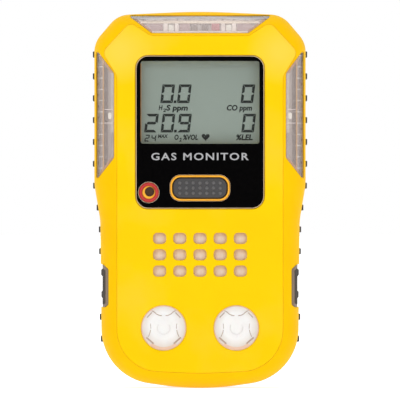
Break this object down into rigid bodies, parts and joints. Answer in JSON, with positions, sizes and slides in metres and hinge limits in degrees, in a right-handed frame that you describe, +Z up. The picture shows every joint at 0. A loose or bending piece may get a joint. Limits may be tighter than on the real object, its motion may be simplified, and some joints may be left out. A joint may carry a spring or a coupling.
{
  "type": "portable gas detector",
  "caption": "Pocket-size gas detector in a two-part housing with display, push button, alarm windows, gas inlets and a sprung clip on its back.",
  "frame": {"origin": "centre of the whole object's bounding box, clip included", "axes": "+Z up along the height, front face towards -Y, +X to the right as seen from the front"},
  "size_m": [0.0684, 0.0456, 0.12],
  "materials": {
    "yellow_shell": "satin moulded polycarbonate blend, fine texture",
    "yellow_rubber": "satin soft overmould",
    "dark_plastic": "matte moulded texture",
    "dark_rubber": "matte",
    "clear_plastic": "clear polycarbonate, frosted inside on the alarm lenses",
    "reflector_silver": "vacuum-metallised",
    "black_print": "black ink behind the window",
    "button_grey": "matte",
    "warning_red": "red moulded plastic",
    "lcd_green": "reflective liquid crystal panel",
    "membrane": "porous filter sheet",
    "screen_white": "white porous plastic",
    "board_green": "solder mask",
    "component_black": "moulded epoxy",
    "white_plastic": "moulded",
    "steel": "stainless, lightly brushed",
    "brass": "turned",
    "cell_wrap": "shrink sleeve on a metal can",
    "label_film": "blank label film"
  },
  "bodies": {
    "housing": {"front_shell": "yellow_shell", "bumper": "yellow_rubber", "rear_shell": "dark_plastic", "top_alarm_lens": "clear_plastic", "left_alarm_lens": "clear_plastic", "right_alarm_lens": "clear_plastic", "top_reflector": "reflector_silver", "left_reflector": "reflector_silver", "right_reflector": "reflector_silver", "left_led": "screen_white", "right_led": "screen_white", "top_left_led": "screen_white", "top_right_led": "screen_white", "left_grip": "dark_rubber", "right_grip": "dark_rubber", "display_window": "clear_plastic", "window_mask": "black_print", "window_adhesive": "dark_rubber", "sound_port_ring": "warning_red", "switch_body": "component_black", "lcd_glass": "lcd_green", "lcd_holder": "white_plastic", "lcd_contact_strip": "dark_rubber", "main_board": "board_green", "sensor_board": "board_green", "board_flex": "brass", "buzzer": "component_black", "vibration_motor": "steel", "inlet_membrane": "membrane", "inlet_gasket": "dark_rubber", "main_seal": "dark_rubber", "combustible_sensor": "white_plastic", "left_sensor_cell": "white_plastic", "right_sensor_cell": "white_plastic", "left_sensor_screen": "screen_white", "right_sensor_screen": "screen_white", "left_sensor_gasket": "dark_rubber", "right_sensor_gasket": "dark_rubber", "left_battery_cell": "cell_wrap", "right_battery_cell": "cell_wrap", "battery_tray": "white_plastic", "rear_label": "label_film", "ir_window": "warning_red", "clip_base": "steel", "clip_pin": "steel", "clip_spring": "steel", "clip_screw": "steel", "clip_insert": "brass", "rear_screw_upper_left": "steel", "rear_screw_upper_right": "steel", "rear_screw_middle_left": "steel", "rear_screw_middle_right": "steel", "rear_screw_lower_left": "steel", "rear_screw_lower_right": "steel"},
    "push_button": {"push_button": "button_grey"},
    "switch_plunger": {"switch_plunger": "steel"},
    "clip_jaw": {"clip_jaw": "steel"},
    "vibrator_weight": {"vibrator_weight": "steel"}
  },
  "joints": [
    {"name": "button_press", "type": "slide", "parent": "housing", "child": "push_button", "axis": [0, 1, 0], "range_m": [0, 0.0005], "stiffness_N_per_m": 4000, "springref_m": -0.0002},
    {"name": "switch_travel", "type": "slide", "parent": "housing", "child": "switch_plunger", "axis": [0, 1, 0], "range_m": [0, 0.0005]},
    {"name": "clip_hinge", "type": "hinge", "parent": "housing", "child": "clip_jaw", "pos_m": [0, 0.01436, 0.02597], "axis": [1, 0, 0], "range_deg": [0, 26], "stiffness_Nm_per_rad": 0.25, "springref_deg": -28.65, "deforming": ["clip_spring"]},
    {"name": "vibrator_spin", "type": "hinge", "parent": "housing", "child": "vibrator_weight", "pos_m": [0.0166, -0.01584, 0.00837], "axis": [0, 0, 1], "continuous": true}
  ],
  "couplings": [
    {"joint": "switch_travel", "follows": "button_press", "ratio": 1}
  ]
}
